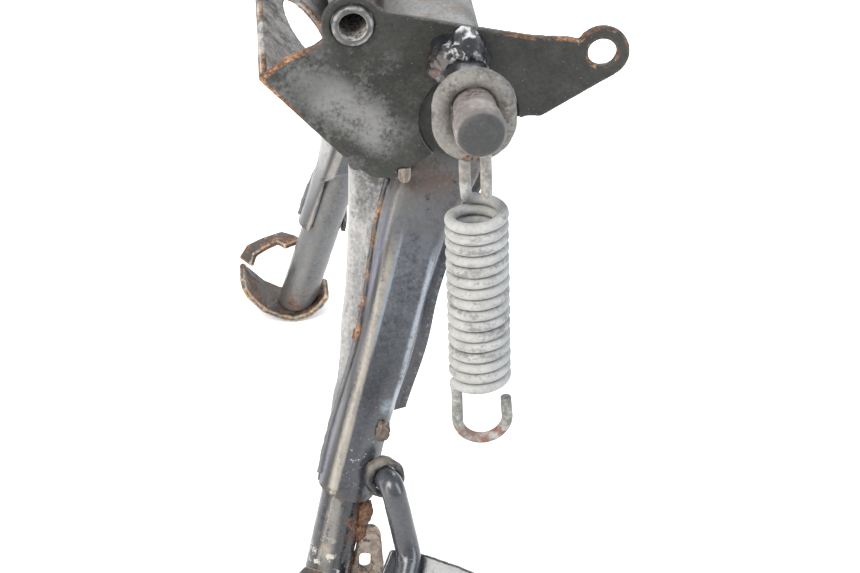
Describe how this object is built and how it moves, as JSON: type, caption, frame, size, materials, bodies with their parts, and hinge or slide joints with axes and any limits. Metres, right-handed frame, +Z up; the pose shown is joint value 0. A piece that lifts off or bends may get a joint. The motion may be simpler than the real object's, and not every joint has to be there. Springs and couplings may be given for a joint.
{
  "type": "motorcycle centre stand",
  "caption": "Folding two-legged motorcycle centre stand in a pressed frame bracket, with a foot lever, a spring post, a link ring and a hanging coil spring.",
  "frame": {"origin": "on the axis of the front frame bolt, midway between the bracket's side plates", "axes": "+X towards the rear of the vehicle, +Y to its right, +Z up"},
  "size_m": [0.1654, 0.3226, 0.2691],
  "materials": {
    "bracket_paint": "black paint, dusty, scratched, rust on the edges",
    "leg_paint": "glossy black paint, worn",
    "weld_paint": "glossy black paint over a weld bead",
    "worn_steel": "worn dull steel with rust",
    "plated_steel": "dull zinc plating",
    "spring_zinc": "dirty galvanised wire",
    "rusty_steel": "rusty steel",
    "bush_bronze": "sintered bronze"
  },
  "bodies": {
    "bracket": {"bracket": "bracket_paint", "front_spacer": "bracket_paint", "spring_post": "worn_steel", "post_weld": "weld_paint", "pivot_bolt": "plated_steel", "bolt_washer": "plated_steel", "pivot_nut": "plated_steel", "nut_washer": "plated_steel", "pivot_sleeve": "worn_steel"},
    "stand": {"pivot_tube": "leg_paint", "pivot_bush_left": "bush_bronze", "pivot_bush_right": "bush_bronze", "thrust_washer_left": "worn_steel", "thrust_washer_right": "worn_steel", "cross_channel": "leg_paint", "outer_shell_left": "leg_paint", "outer_shell_right": "leg_paint", "inner_shell_left": "leg_paint", "inner_shell_right": "leg_paint", "leg_tube_left": "leg_paint", "leg_tube_right": "leg_paint", "foot_plate_left": "rusty_steel", "foot_plate_right": "rusty_steel", "foot_strap_left": "rusty_steel", "foot_strap_right": "rusty_steel", "stop_stub_left": "rusty_steel", "stop_stub_right": "rusty_steel", "lever_boss": "rusty_steel", "lever_rod": "leg_paint", "lever_tread": "leg_paint", "tread_brace": "leg_paint", "spring_lug": "rusty_steel"},
    "ring": {"link_ring": "worn_steel"},
    "spring": {"stand_spring": "spring_zinc"}
  },
  "joints": [
    {"name": "stand_fold", "type": "hinge", "parent": "bracket", "child": "stand", "pos_m": [0.044, 0, -0.043], "axis": [0, -1, 0], "range_deg": [0, 90]},
    {"name": "ring_swing", "type": "hinge", "parent": "bracket", "child": "ring", "pos_m": [0.0422, -0.136, -0.0182], "axis": [0, -1, 0], "range_deg": [0, 90]},
    {"name": "spring_rock", "type": "hinge", "parent": "ring", "child": "spring", "pos_m": [0.0422, -0.136, -0.0371], "axis": [1, 0, 0], "range_deg": [-5, 5]}
  ],
  "couplings": [
    {"joint": "ring_swing", "follows": "stand_fold", "ratio": 1}
  ]
}
